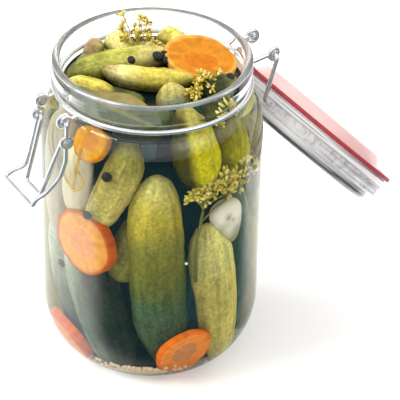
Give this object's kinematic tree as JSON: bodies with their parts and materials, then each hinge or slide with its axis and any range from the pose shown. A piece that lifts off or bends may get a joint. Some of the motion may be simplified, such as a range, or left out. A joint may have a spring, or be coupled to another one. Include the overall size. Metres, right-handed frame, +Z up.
{
  "type": "clip top jar of pickled gherkins",
  "caption": "Round glass preserving jar with a wire clip and a hinged glass lid standing open, packed with pickled gherkins, carrot slices and dill.",
  "frame": {"origin": "centre of the jar's flat base", "axes": "+Z up along the jar's axis; -Y is the front, where the clip is; +Y is the back, where the lid is hinged and hangs open; +X is to the right seen from the front"},
  "size_m": [0.105, 0.2003, 0.1595],
  "materials": {
    "clear_glass": "clear, smooth",
    "bright_wire": "bright drawn wire",
    "red_rubber": "satin",
    "pickled_gherkin": "wet, slightly glossy"
  },
  "bodies": {
    "jar": {"glass_jar": "clear_glass", "neck_wire": "bright_wire", "pickle_heap": "pickled_gherkin"},
    "lever": {"latch_lever": "bright_wire"},
    "bail": {"latch_bail": "bright_wire"},
    "lid": {"lid_glass": "clear_glass", "rubber_seal": "red_rubber", "lid_wire": "bright_wire"}
  },
  "joints": [
    {"name": "lid_hinge", "type": "hinge", "parent": "jar", "child": "lid", "pos_m": [0, 0.0606, 0.14835], "axis": [1, 0, 0], "range_deg": [0, 226.4]},
    {"name": "lever_pivot", "type": "hinge", "parent": "jar", "child": "lever", "pos_m": [0, -0.052, 0.1455], "axis": [-1, 0, 0], "range_deg": [0, 100]},
    {"name": "bail_pivot", "type": "hinge", "parent": "lever", "child": "bail", "pos_m": [0, -0.0522, 0.1362], "axis": [-1, 0, 0], "range_deg": [0, 80]}
  ]
}
